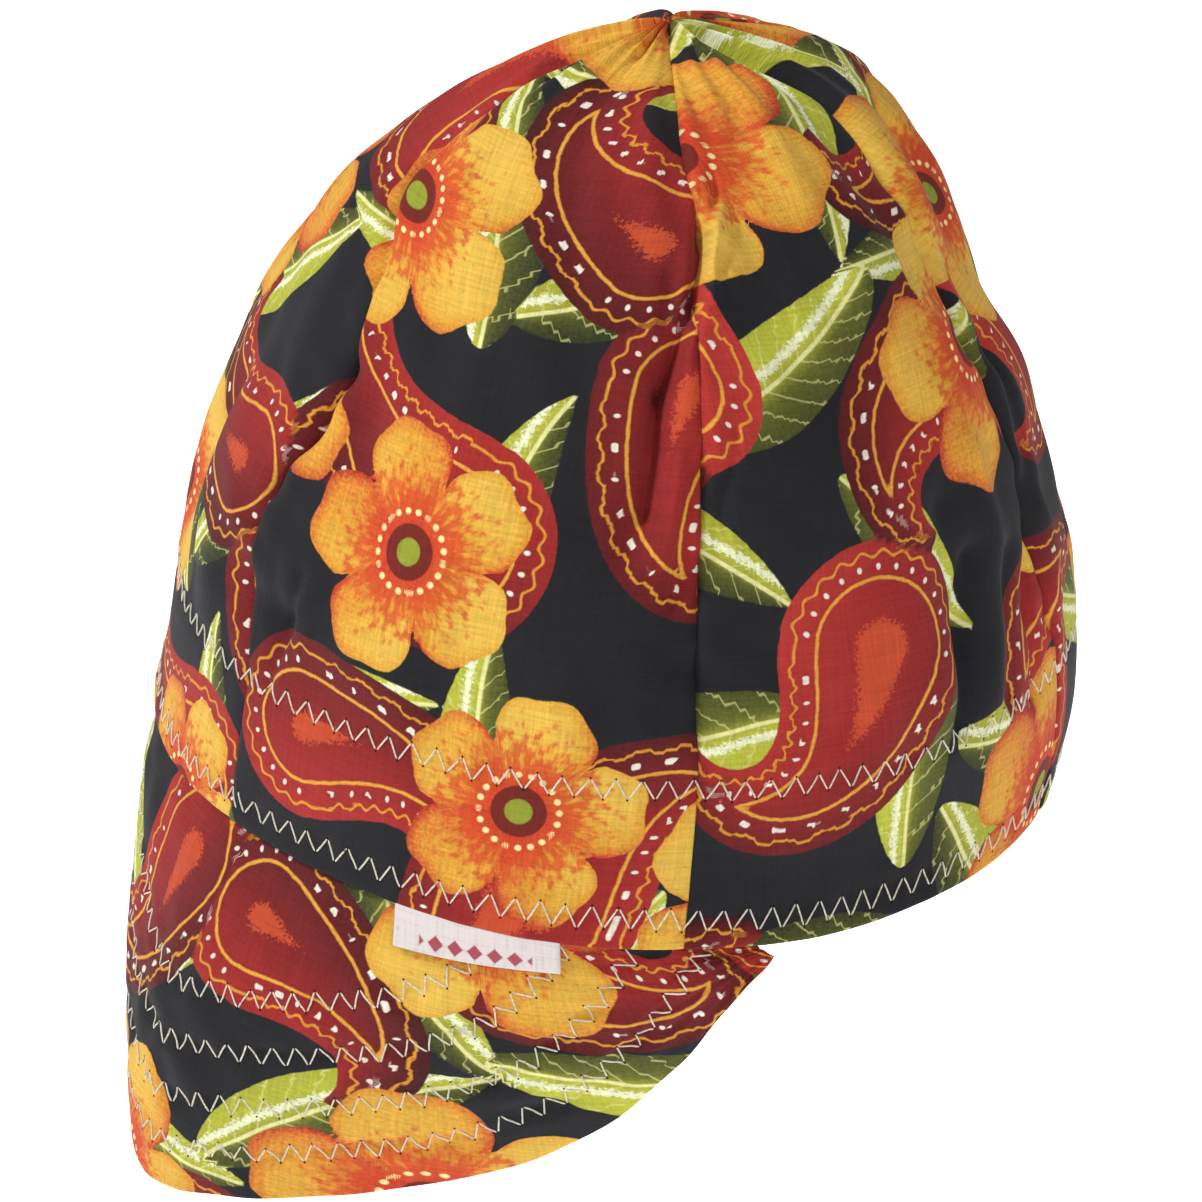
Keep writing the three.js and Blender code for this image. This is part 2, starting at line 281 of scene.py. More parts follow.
def crown_sink(angle, up):
    """How far the cloth lies under the smooth skin: folds and slack above the headband, creases,
    a valley along each seam, and a furrow with puckers along each row of stitches. At a seam the
    cloth on the side of smaller angles dips, and the other stands up over the seam's allowance."""
    height = up * CROWN_HEIGHT
    girth = np.radians((np.asarray(angle) + 180) % 360) * RIM_RADIUS
    free = smoothstep(height, BAND_TOP, BAND_TOP + 16)
    slack = 0.95 * ripple(girth, height, 44, 3) + 0.42 * ripple(girth, height, 17, 4)
    flutes = 0.8 * np.exp(-((height - BAND_TOP - 9) / 13) ** 2) * ripple(girth, height * 0.15, 17, 5)
    seam = seam_distance(angle, up)
    before, after = np.minimum(seam, 0), np.maximum(seam, 0)
    pucker = np.exp(-np.abs(seam) / 8) * ripple(girth * 0.4, height + girth * 0.5, 10, 6)
    dip = np.where(seam < 0, np.exp(before / 1.6), np.exp(-after / 0.45))
    wide_dip = np.where(seam < 0, np.exp(before / 6.5), np.exp(-after / 1.2))
    ridge = (1 - np.exp(-after / 0.45)) * (1 - smoothstep(after, 5, 9))
    valley = (0.45 + 0.25 * free) * dip + 1.3 * free * wide_dip - (0.15 + 0.3 * free) * ridge
    folds = fold_depth(angle, up, [(*ends, width * RIM_RADIUS, depth) for *ends, width, depth in FOLDS])
    sink = free * (folds + slack + 0.8 * pucker) + 1.2 * crease_sink(angle, up) + flutes + valley
    for row, seed in ((LOWER_ROW, 7), (UPPER_ROW, 8)):
        away = np.abs(height - row)
        pull = 1 + 0.6 * ripple(girth, height * 0.3, 7, seed)
        sink = sink + 0.34 * np.exp(-((away / 2.4) ** 2)) * pull
        sink = sink + 0.2 * np.exp(-away / 4) * ripple(girth, height * 0.3, 8, seed + 2)
    return sink


def crown_cloth(angle, up, under=0.0):
    """The cloth's outer face, or a layer that lies a given depth under it."""
    angle, up = np.broadcast_arrays(np.asarray(angle, float), np.asarray(up, float))
    low = np.clip(up, 0.012, 0.985)
    normal = surface_normal(crown_skin, angle, low, 0.5, 0.01)
    return crown_skin(angle, up) - normal * (crown_sink(angle, up) + under)[..., None]


def crown_heights(top_share, step):
    """Height shares a given step of cloth apart, up a panel's middle line."""
    fine = np.linspace(0, top_share, 2000)
    line = crown_skin(np.full_like(fine, 90.0), fine)
    run = np.concatenate(([0], np.cumsum(np.linalg.norm(np.diff(line, axis=0), axis=1))))
    count = int(round(run[-1] / step)) + 1
    lengths = np.linspace(0, run[-1], count)
    return np.interp(lengths, run, fine), lengths


# The bill

def bill_depth(along):
    return BILL_DEPTH * read_table(*BILL_OUTLINE, np.abs(along), level_start=True)


def bill_skin(along, way):
    """The bill's smooth outer skin. Above the rim it follows the crown's wall from inside. Below
    it, straight lines leave the rim, turned back more towards the corners, with a bow outwards."""
    along, way = np.broadcast_arrays(np.asarray(along, float), np.asarray(way, float))
    angle = along * BILL_HALF_SPAN
    tucked = np.clip(-way, 0, 1) * BILL_TUCK / CROWN_HEIGHT
    normal = surface_normal(crown_skin, angle, np.clip(tucked, 0.012, 1), 0.5, 0.01)
    root = crown_skin(angle, tucked) - normal * (PANEL_WALL + PIECE_GAP)
    drop = np.radians(BILL_DROP + BILL_FOLD_BACK * along**2)
    turn = np.radians(-BILL_FAN * angle)
    line = np.stack((np.cos(drop) * np.sin(turn), -np.cos(drop) * np.cos(turn), -np.sin(drop)), -1)
    outward = np.stack((np.sin(np.radians(angle)), -np.cos(np.radians(angle)), 0 * angle), -1)
    depth = bill_depth(along)
    hang = np.clip(way, 0, None)
    bow = BILL_BOW * np.sin(np.pi * np.minimum(hang, 1)) * depth / BILL_DEPTH
    return root + line * (hang * depth)[..., None] + outward * bow[..., None]


def bill_edge_distance(points):
    """Straight distance from points on the bill to its outer edge, over a fine run of the edge."""
    along = np.linspace(-1, 1, 241)
    edge = bill_skin(along, np.ones_like(along))
    flat = points.reshape(-1, 3)
    nearest = np.full(len(flat), 1e9)
    for start, end in zip(edge[:-1], edge[1:]):
        line = end - start
        share = np.clip((flat - start) @ line / (line @ line), 0, 1)
        away = flat - start - share[:, None] * line
        nearest = np.minimum(nearest, np.einsum("ij,ij->i", away, away))
    return np.sqrt(nearest).reshape(points.shape[:-1])


def bill_relief(along, way, edge_away):
    """Padding that stands up between the rows of stitches and is pulled down at each row."""
    x, y = along * BILL_HALF_SPAN * 1.6, way * BILL_DEPTH
    relief = 0.6 * ripple(x, y, 38, 21) + 0.26 * ripple(x, y, 13, 22)
    for i, row in enumerate(BILL_ROWS):
        away = np.abs(edge_away - row)
        pull = 1 + 0.5 * ripple(x, y, 7, 23 + i)
        relief = relief - 0.62 * np.exp(-((away / 2.3) ** 2)) * pull
        relief = relief - 0.22 * np.exp(-away / 4) * ripple(x, y, 8, 27 + i)
    return relief * smoothstep(way, 0, 0.08)


def bill_wall(along, way):
    """The bill's thickness: pressed flat at its root, padded below, thin at corners and edge."""
    taper = np.maximum(1 - along**4, 0.35)
    swell = BILL_ROOT_WALL + (BILL_WALL - BILL_ROOT_WALL) * smoothstep(way, 0, 0.3)
    return swell * taper * (1 - 0.4 * smoothstep(way, 0.86, 1))


def bill_face(along, way):
    """The bill's outer cloth, and the unit normal that it stands up along."""
    along, way = np.broadcast_arrays(np.asarray(along, float), np.asarray(way, float))
    skin = bill_skin(along, way)
    normal = -surface_normal(bill_skin, np.clip(along, -0.98, 0.98), np.clip(way, 0.02, 0.98), 0.01, 0.01)
    relief = bill_relief(along, way, bill_edge_distance(skin))
    return skin + normal * relief[..., None], normal, relief


def bill_under(along, way):
    """The bill's under cloth, which the same stitches pull up into the padding."""
    face, normal, relief = bill_face(along, way)
    sunk = bill_wall(along, way) + 1.4 * relief
    return face - normal * np.maximum(sunk, 0.7)[..., None], -normal, relief


def bill_row(inset):
    """The line on the bill that lies a given distance inside its outer edge, from hem to hem."""
    along, way = np.meshgrid(np.linspace(-0.99, 0.99, 241), np.linspace(0, 1, 101), indexing="ij")
    away = bill_edge_distance(bill_skin(along, way))
    inner = away[:, 1:] < inset
    kept = inner.argmax(1)
    reaches = away[:, 0] > inset
    pick = np.arange(len(along))
    here, there = away[pick, kept], away[pick, kept + 1]
    share = (here - inset) / (here - there)
    return along[reaches, 0], ((kept + share) / 100)[reaches]


# The headband

def band_under(angle, height):
    """How deep the headband lies under the crown's skin: past the wall, and past the bill's root
    where that is tucked in."""
    beside = np.abs((np.asarray(angle) + 180) % 360 - 180) / BILL_HALF_SPAN
    hold = 1 - smoothstep(beside, 1.02, 1.2)
    low = 1 - smoothstep(height - BAND_BOTTOM, BILL_TUCK, BAND_HEIGHT * 0.6)
    return PANEL_WALL + 2 * PIECE_GAP + (BILL_ROOT_WALL + PIECE_GAP) * hold * low


def band_face(angle, height, depth=0.0):
    """A face of the headband at an angle and a height, a depth behind its outer face."""
    angle, height = np.broadcast_arrays(np.asarray(angle, float), np.asarray(height, float))
    up = height / CROWN_HEIGHT
    normal = surface_normal(crown_skin, angle, np.clip(up, 0.012, 0.9), 0.5, 0.01)
    girth = np.radians(angle % 360) * RIM_RADIUS
    pucker = 0.25 * ripple(girth, height * 0.2, 9, 41) + 0.35 * ripple(girth, height * 0.3, 31, 42)
    under = band_under(angle, height) + np.maximum(pucker, -0.3) + depth + 1.2 * crease_sink(angle, up)
    return crown_skin(angle, up) - normal * under[..., None], -normal


# Mesh building

def sheet_loop(middle, normal, half, round_first=True, round_last=False):
    """Rows of points once round a sheet: down its outer side, round its first edge, and up its
    inner side, and round its last edge if asked. A rounded edge is half a circle of two steps on
    each side, so the rows still pair up from the two ends of the loop."""
    quarter = np.radians((22.5, 67.5))

    def rounded(row, beside):
        out = unit(middle[row] - middle[beside])
        return [
            middle[row] + half[row][:, None] * (normal[row] * math.cos(a) + out * math.sin(a))
            for a in quarter
        ], [
            middle[row] + half[row][:, None] * (-normal[row] * math.cos(a) + out * math.sin(a))
            for a in quarter[::-1]
        ]

    outer = list((middle + normal * half[..., None])[::-1])
    inner = list(middle - normal * half[..., None])
    if round_first:
        near, far = rounded(0, 1)
        outer, inner = outer + near, far + inner
    if round_last:
        near, far = rounded(-1, -2)
        outer, inner = near[::-1] + outer, inner + far[::-1]
    return np.array(outer + inner)


def fill_mesh(name, loop, wrap_columns=False, cloth=None, layers=None, inside=None):
    """A closed mesh from a loop of rows: quads between rows and columns, the loop closed on
    itself, and a ladder of quads across each open end. OFBake spreads the grid over the unit
    square, and cloth holds its place on the flat cloth in millimetres."""
    rows, columns = loop.shape[:2]
    i, j = (g.ravel() for g in np.meshgrid(
        np.arange(rows), np.arange(columns if wrap_columns else columns - 1), indexing="ij"))
    face_rows = np.stack((i, i, i + 1, i + 1), 1)
    face_columns = np.stack((j, j + 1, j + 1, j), 1)
    if not wrap_columns:
        k = np.arange(rows // 2 - 1)
        ladder = np.stack((k, k + 1, rows - 2 - k, rows - 1 - k), 1)
        face_rows = np.concatenate((face_rows, ladder, ladder[:, ::-1]))
        face_columns = np.concatenate((
            face_columns, np.zeros_like(ladder), np.full_like(ladder, columns - 1)))
    corners = (face_rows % rows) * columns + face_columns % columns
    points = loop.reshape(-1, 3) * MM
    a, b, c = (points[corners[:, n]] for n in (0, 1, 2))
    if np.einsum("ij,ij->i", a, np.cross(b, c)).sum() < 0:
        corners, face_rows, face_columns = (g[:, ::-1] for g in (corners, face_rows, face_columns))
    mesh = bpy.data.meshes.new(name)
    mesh.vertices.add(len(points))
    mesh.vertices.foreach_set("co", points.astype(np.float32).ravel())
    mesh.loops.add(corners.size)
    mesh.loops.foreach_set("vertex_index", corners.astype(np.int32).ravel())
    mesh.polygons.add(len(corners))
    mesh.polygons.foreach_set("loop_start", np.arange(0, corners.size, 4, dtype=np.int32))
    mesh.update(calc_edges=True)
    mesh.shade_smooth()
    span_columns = columns if wrap_columns else columns - 1
    bake = np.stack((face_columns / span_columns, face_rows / rows), -1) * 0.98 + 0.01
    mesh.uv_layers.new(name="OFBake").data.foreach_set("uv", bake.astype(np.float32).ravel())
    if cloth is not None:
        flat = cloth[face_rows % rows, np.minimum(face_columns, cloth.shape[1] - 1)]
        mesh.uv_layers.new(name="cloth").data.foreach_set("uv", flat.astype(np.float32).ravel())
    for key, values in (layers or {}).items():
        mesh.attributes.new(key, "FLOAT_COLOR", "POINT").data.foreach_set(
            "color", values.astype(np.float32).ravel())
    if inside is not None:
        mesh.attributes.new("inside", "FLOAT", "POINT").data.foreach_set(
            "value", inside.astype(np.float32).ravel())
    made = bpy.data.objects.new(name, mesh)
    bpy.context.scene.collection.objects.link(made)
    return made


def tubes(name, paths, radius, sides=6, end=0.3):
    """Round threads along many paths at once: rings square to each path, the first and last of
    them narrowed to a share of the radius."""
    paths = np.asarray(paths)
    count, steps = paths.shape[:2]
    tangent = unit(np.gradient(paths, axis=1))
    helper = np.where(np.abs(tangent[..., 2:]) > 0.8, (1.0, 0.0, 0.0), (0.0, 0.0, 1.0))
    across = unit(np.cross(tangent, helper))
    over = np.cross(tangent, across)
    turn = np.linspace(0, 2 * math.pi, sides, endpoint=False)
    swell = np.full(steps, radius)
    swell[[0, -1]] = radius * end
    rings = (
        across[:, :, None] * np.cos(turn)[:, None] + over[:, :, None] * np.sin(turn)[:, None]
    ) * swell[:, None, None] + paths[:, :, None]
    points = rings.reshape(-1, 3) * MM
    p, s, t = (g.ravel() for g in np.meshgrid(
        np.arange(count), np.arange(steps - 1), np.arange(sides), indexing="ij"))
    base = (p * steps + s) * sides
    quads = np.stack((base + t, base + (t + 1) % sides, base + sides + (t + 1) % sides,
                      base + sides + t), 1)
    mesh = bpy.data.meshes.new(name)
    first = (np.arange(count) * steps * sides)[:, None]
    last = first + (steps - 1) * sides
    caps = np.concatenate((first + np.arange(sides)[::-1], last + np.arange(sides)))
    mesh.from_pydata(points.tolist(), [], quads.tolist() + caps.tolist())
    mesh.shade_smooth()
    made = bpy.data.objects.new(name, mesh)
    bpy.context.scene.collection.objects.link(made)
    return made


# The print: motifs lie on a flat repeat of cloth, in three layers from bottom to top. For each
# vertex a layer stores how far it is inside the nearest motif (mm, negative outside), two lengths
# or angles inside the motif that its inner drawing follows, and its tone from dark to light.

TILE = 232.0
LAYER_NAMES = ("leaves", "paisleys", "blossoms")


def tapered_stroke(x, y, line, radii):
    """A shape drawn by a disc that slides down a line and changes its radius: depth inside it,
    signed distance from the line, length along the line, and whether it lies behind the start."""
    best = np.full(x.shape, -1e9)
    across, run, behind = np.zeros(x.shape), np.zeros(x.shape), np.zeros(x.shape)
    gone = 0.0
    for start, end, radius, next_radius in zip(line[:-1], line[1:], radii[:-1], radii[1:]):
        step = end - start
        length = math.hypot(*step)
        u = ((x - start[0]) * step[0] + (y - start[1]) * step[1]) / length
        v = ((y - start[1]) * step[0] - (x - start[0]) * step[1]) / length
        share = np.clip(u / length, 0, 1)
        depth = radius + (next_radius - radius) * share - np.hypot(u - share * length, v)
        deeper = depth > best
        best = np.where(deeper, depth, best)
        across = np.where(deeper, v, across)
        run = np.where(deeper, gone + share * length, run)
        behind = np.where(deeper, np.minimum(u, 0) if gone == 0 else 0, behind)
        gone += length
    return best, across, run, behind


def curled_line(length, bend, steps=34, sharpen=2.0):
    """A middle line that starts straight and curls by bend degrees towards its end."""
    share = np.linspace(0, 1, steps)
    heading = np.radians(bend) * share**sharpen
    pace = length / (steps - 1)
    x = np.concatenate(([0], np.cumsum(np.cos(heading[:-1]) * pace)))
    y = np.concatenate(([0], np.cumsum(np.sin(heading[:-1]) * pace)))
    return np.stack((x - x.mean(), y - y.mean()), 1), share


def paisley(x, y, size, bend, shade):
    """A drop with a full round head and a tail that curls over. Its inner drawing follows the
    length round its outline and the distance from its middle line."""
    line, share = curled_line(0.72 * size, bend)
    radii = 0.4 + 0.235 * size * (1 - share) ** 0.75
    depth, across, run, behind = tapered_stroke(x, y, line, radii)
    head = np.arctan2(np.abs(across), np.where(behind < 0, -behind, 0)) * radii[0]
    girth = np.where(behind < 0, head, radii[0] * math.pi / 2 + run) * np.sign(across)
    side = np.clip(across / np.interp(run / (0.72 * size), share, radii), -1, 1)
    tone = shade + 0.28 * side * np.sign(bend) - 0.2 * run / size
    return depth, girth, across, tone


def leaf(x, y, size, bend, shade):
    """A leaf pointed at both ends, light on one half and olive on the other. Its inner drawing
    follows the distance from its middle line and the length along it."""
    line, share = curled_line(size, bend, sharpen=1.0)
    radii = 0.3 + 0.15 * size * np.sin(np.pi * share**0.8) ** 0.9
    depth, across, run, _ = tapered_stroke(x, y, line, radii)
    side = across / np.interp(run / size, share, radii)
    tone = shade + 0.3 * np.tanh(side * 4) - 0.18 * np.abs(side)
    return depth, across, run, tone


def blossom(x, y, size, bend, shade):
    """Five broad petals with wavy rims round a small eye: the outline is a circle notched at
    five clefts. One side of each petal is darker, where its neighbour lies over it. The inner
    drawing follows the angle inside a petal and the distance from the eye."""
    angle = np.arctan2(y, x) + math.radians(bend)
    out = np.hypot(x, y)
    petal = 2 * math.pi / 5
    inside = (angle % petal) / petal * 2 - 1
    rim = 0.5 * size * (1 - 0.3 * np.abs(inside) ** 2.6 + 0.025 * np.sin(13 * angle + bend))
    notch = 1 - 0.18 * np.exp(-((1 - np.abs(inside)) / 0.05) ** 2)
    share = out / rim
    tone = shade - 0.42 + 0.62 * smoothstep(share, 0.1, 0.75) + 0.26 * inside * share
    tone = tone - 0.45 * np.exp(-((1 - np.abs(inside)) / 0.2)) * share - 0.3 * smoothstep(share, 0.85, 1.02)
    tone = tone + 0.22 * (0.6 * x + 0.8 * y) / (0.5 * size)
    return (rim * notch - out) * 0.8, inside, out, tone


MOTIFS = {"leaves": leaf, "paisleys": paisley, "blossoms": blossom}


def motif_places():
    """Where the motifs lie on the repeat: each layer has its own grid of cells, and seeded draws
    shift, turn, size and bend the motif in each cell."""
    draw = np.random.default_rng(11)
    plans = (
        ("leaves", 5, 0.95, (44, 66), (-50, 50), (0.45, 0.62)),
        ("paisleys", 4, 0.95, (66, 88), (120, 175), (0.35, 0.62)),
        ("blossoms", 4, 0.72, (46, 60), (0, 72), (0.6, 0.82)),
    )
    places = {name: [] for name in LAYER_NAMES}
    for name, cells, chance, sizes, bends, shades in plans:
        pitch = TILE / cells
        offset = draw.uniform(0, pitch, 2)
        for row in range(cells):
            for column in range(cells):
                jitter = draw.uniform(-0.2, 0.2, 2) * pitch
                place = (np.array((column + 0.5 * (row % 2), row)) * pitch + offset + jitter) % TILE
                turn, size = draw.uniform(0, 360), draw.uniform(*sizes)
                bend = draw.uniform(*bends) * draw.choice((-1, 1))
                shade, keep = draw.uniform(*shades), draw.uniform() < chance
                if keep:
                    places[name].append((*place, turn, size, bend, shade))
    return places


PLACES = motif_places()


def printed(flat, cut):
    """The print's layers on points of flat cloth. cut says where on the repeat the piece was cut
    and how it lay: shift in x and y, and turn in degrees. Where two motifs of a layer meet, the
    deeper one counts."""
    shift_x, shift_y, turned = cut
    c, s = math.cos(math.radians(turned)), math.sin(math.radians(turned))
    x = flat[..., 0] * c - flat[..., 1] * s + shift_x
    y = flat[..., 0] * s + flat[..., 1] * c + shift_y
    layers = {}
    for name in LAYER_NAMES:
        best = np.full(x.shape + (4,), -60.0)
        best[..., 1:] = 0.5
        for place_x, place_y, turn, size, bend, shade in PLACES[name]:
            dx = (x - place_x + TILE / 2) % TILE - TILE / 2
            dy = (y - place_y + TILE / 2) % TILE - TILE / 2
            ct, st = math.cos(math.radians(turn)), math.sin(math.radians(turn))
            near = np.hypot(dx, dy) < 0.62 * size
            u, v = (dx * ct + dy * st)[near], (dy * ct - dx * st)[near]
            found = np.stack(MOTIFS[name](u, v, size, bend, shade), -1)
            old = best[near]
            best[near] = np.where(found[:, :1] > old[:, :1], found, old)
        layers[name] = best
    return layers


# Materials

def linear(hex_colour):
    """An sRGB hex colour as linear RGBA."""
    values = [int(hex_colour[i:i + 2], 16) / 255 for i in (1, 3, 5)]
    return [v / 12.92 if v <= 0.04045 else ((v + 0.055) / 1.055) ** 2.4 for v in values] + [1.0]


def add(tree, kind, settings=None, take=0, **inputs):
    """Adds one node and gives the output socket named or numbered by take. Settings are its
    properties, and stops a colour ramp's (place, hex colour) pairs. Inputs go by name, spaces as
    _, or as n0, n1: each a value, a hex colour or another node's socket."""
    made = tree.nodes.new("ShaderNode" + kind)
    for key, value in (settings or {}).items():
        if key != "stops":
            setattr(made, key, value)
            continue
        elements = made.color_ramp.elements
        for element, (place, colour) in zip(elements, (value[0], value[-1])):
            element.position, element.color = place, linear(colour)
        for place, colour in value[1:-1]:
            elements.new(place).color = linear(colour)
    for key, value in inputs.items():
        numbered = key[0] == "n" and key[1:].isdigit()
        socket = made.inputs[int(key[1:]) if numbered else key.replace("_", " ")]
        if isinstance(value, bpy.types.NodeSocket):
            tree.links.new(value, socket)
        else:
            socket.default_value = linear(value) if isinstance(value, str) else value
    return made.outputs[take]


def new_material(name):
    made = bpy.data.materials.new(name)
    made.use_nodes = True
    tree = made.node_tree
    return made, tree, tree.nodes["Principled BSDF"]


THREAD_SPACING = 0.5  # the real 0.35 mm spacing is under two pixels, so it is drawn this coarse


def weave(tree, spacing=THREAD_SPACING):
    """Plain weave on the flat cloth: two crossed sets of thread waves, and slubs, which are
    thicker stretches of single threads. Gives the height, the slubs and the place on the cloth
    in millimetres."""
    place = add(tree, "UVMap", {"uv_map": "cloth"})
    heights, slubs = [], []
    for direction, stretch in (("X", (1.7, 0.08, 1)), ("Y", (0.08, 1.7, 1))):
        stretched = add(tree, "VectorMath", {"operation": "MULTIPLY"}, n0=place, n1=stretch)
        slubs.append(add(tree, "TexNoise", Vector=stretched, Scale=1.0, Detail=2.0))
        heights.append(add(tree, "TexWave", {"bands_direction": direction}, take="Fac", Vector=place,
                           Scale=0.314 / spacing, Distortion=0.6, Detail=1.0, Detail_Scale=0.4))
    crossed = add(tree, "Math", {"operation": "MAXIMUM"}, n0=heights[0], n1=heights[1])
    slub = add(tree, "Math", {"operation": "ADD"}, n0=slubs[0], n1=slubs[1])
    return crossed, slub, place


def overprint(tree, under, away, half, ink, cover=0.9):
    """Prints an ink over what is under it, wherever away is less than half, in mm."""
    drawn = add(tree, "MapRange", Value=away, From_Min=half + 0.15, From_Max=half - 0.15,
                To_Min=0.0, To_Max=cover)
    return add(tree, "Mix", {"data_type": "RGBA"}, take=2, n0=drawn, n6=under, n7=ink)


def leaf_drawing(tree, ink, depth, across, run, grain):
    """A pale middle rib, thin side veins that slant away from it, and a powdery highlight."""
    rib = add(tree, "Math", {"operation": "ABSOLUTE"}, n0=across)
    slant = add(tree, "Math", {"operation": "MULTIPLY_ADD"}, n0=rib, n1=-0.9, n2=run)
    vein = add(tree, "Math", {"operation": "PINGPONG"}, n0=slant, n1=2.6)
    ink = overprint(tree, ink, vein, 0.22, "#D9D88A", 0.5)
    lit = add(tree, "Math", {"operation": "SUBTRACT"}, n0=across, n1=2.6)
    lit = add(tree, "Math", {"operation": "ABSOLUTE"}, n0=lit)
    lit = add(tree, "Math", {"operation": "MULTIPLY_ADD"}, n0=grain, n1=-4.5, n2=lit)
    ink = overprint(tree, ink, lit, -1.5, "#EEF0D2", 0.8)
    return overprint(tree, ink, rib, 0.42, "#E2E09C")


def paisley_drawing(tree, ink, depth, girth, across, grain):
    """A wavy gold line inside the edge, a row of cream dots, a gold line round a plain red heart,
    and a small powdery orange drop in that."""
    wave = add(tree, "Math", {"operation": "MULTIPLY"}, n0=girth, n1=2 * math.pi / 5.4)
    wave = add(tree, "Math", {"operation": "SINE"}, n0=wave)
    wavy = add(tree, "Math", {"operation": "MULTIPLY_ADD"}, n0=wave, n1=0.55, n2=depth)
    along = add(tree, "Math", {"operation": "PINGPONG"}, n0=girth, n1=2.7)
    row = add(tree, "Math", {"operation": "SUBTRACT"}, n0=depth, n1=5.4)
    dot = add(tree, "CombineXYZ", X=along, Y=row)
    dot = add(tree, "VectorMath", {"operation": "LENGTH"}, take="Value", n0=dot)
    for distance, middle, half, colour in ((wavy, 2.9, 0.28, "#D9952F"), (depth, 7.6, 0.33, "#E0A23A")):
        line = add(tree, "Math", {"operation": "SUBTRACT"}, n0=distance, n1=middle)
        line = add(tree, "Math", {"operation": "ABSOLUTE"}, n0=line)
        ink = overprint(tree, ink, line, half, colour)
    ink = overprint(tree, ink, dot, 0.62, "#EFE6D8")
    powdery = add(tree, "Math", {"operation": "MULTIPLY_ADD"}, n0=grain, n1=7.0, n2=depth)
    powdery = add(tree, "Math", {"operation": "SUBTRACT"}, n0=19.0, n1=powdery)
    return overprint(tree, ink, powdery, 0.0, "#C9502A", 0.75)


def blossom_drawing(tree, ink, depth, inside, out, grain):
    """Red streaks that run out along the petals, a dark eye, and a ring of pale stamens."""
    polar = add(tree, "CombineXYZ", X=inside, Y=add(tree, "Math", {"operation": "MULTIPLY"}, n0=out, n1=0.06))
    streak = add(tree, "TexNoise", Vector=polar, Scale=6.0, Detail=2.0)
    streak = add(tree, "Math", {"operation": "MULTIPLY_ADD"}, n0=streak, n1=-34.0, n2=out)
    streak = add(tree, "Math", {"operation": "MULTIPLY_ADD"}, n0=grain, n1=-9.0, n2=streak)
    reach = add(tree, "MapRange", Value=streak, From_Min=-11.0, From_Max=-5.0, To_Min=0.75, To_Max=0.0)
    ink = add(tree, "Mix", {"data_type": "RGBA"}, take=2, n0=reach, n6=ink, n7="#C8381E")
    around = add(tree, "Math", {"operation": "PINGPONG"}, n0=inside, n1=0.25)
    around = add(tree, "Math", {"operation": "MULTIPLY"}, n0=around, n1=4.5)
    stamen = add(tree, "CombineXYZ", X=around, Y=add(tree, "Math", {"operation": "SUBTRACT"}, n0=out, n1=7.4))
    stamen = add(tree, "VectorMath", {"operation": "LENGTH"}, take="Value", n0=stamen)
    ink = overprint(tree, ink, out, 5.2, "#5E1A16")
    ink = overprint(tree, ink, out, 2.6, "#8F9C2E")
    return overprint(tree, ink, stamen, 0.6, "#F7E6A0")


# Each layer: its tone ramp, the strength of the airbrush grain, and its inner drawing
PRINT_INKS = {
    "leaves": (
        ((0.0, "#2F3318"), (0.3, "#646725"), (0.55, "#979931"), (0.8, "#B9BC3C"), (1.0, "#CFD06C")),
        0.2, leaf_drawing,
    ),
    "paisleys": (
        ((0.0, "#3E0F11"), (0.25, "#6B191B"), (0.5, "#902321"), (0.75, "#A62D28"), (1.0, "#C03D35")),
        0.16, paisley_drawing,
    ),
    "blossoms": (
        ((0.0, "#96281C"), (0.25, "#B94624"), (0.5, "#CE7A2E"), (0.72, "#D59C34"), (1.0, "#DAB14A")),
        0.5, blossom_drawing,
    ),
}


